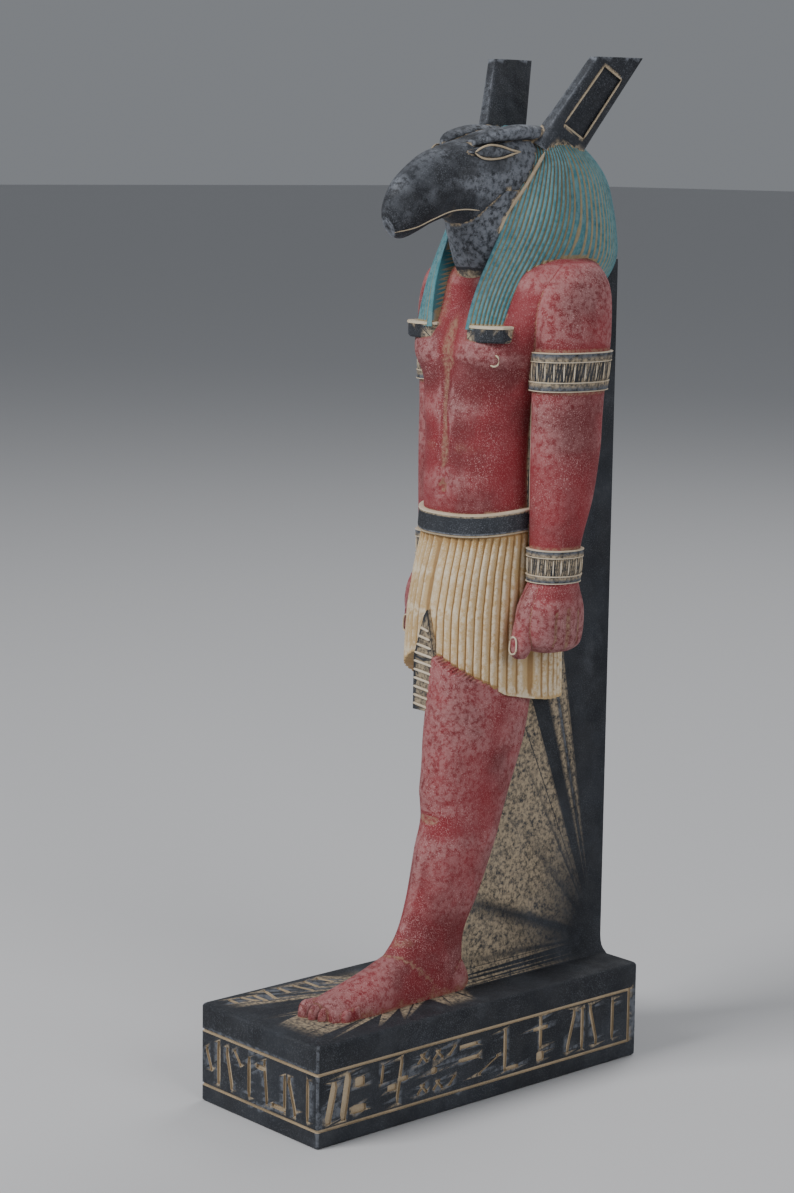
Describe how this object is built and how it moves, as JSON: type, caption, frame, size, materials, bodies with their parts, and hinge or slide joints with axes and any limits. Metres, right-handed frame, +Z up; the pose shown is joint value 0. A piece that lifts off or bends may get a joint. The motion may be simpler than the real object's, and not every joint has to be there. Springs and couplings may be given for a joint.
{
  "type": "striding egyptian god statue",
  "caption": "Striding animal-headed god figure with square-tipped ears, pleated kilt and back slab, on an oblong plinth with an incised band.",
  "frame": {"origin": "centre of the underside of the plinth", "axes": "+Z up, -Y is where the figure faces, +X is the figure's own left side"},
  "size_m": [0.1334, 0.254, 0.6],
  "materials": {
    "painted_stone": "carved and painted stone: crimson skin, black head, slab and plinth, turquoise wig, cream kilt, worn and dusty"
  },
  "bodies": {
    "root": {"statue": "painted_stone"}
  },
  "joints": []
}
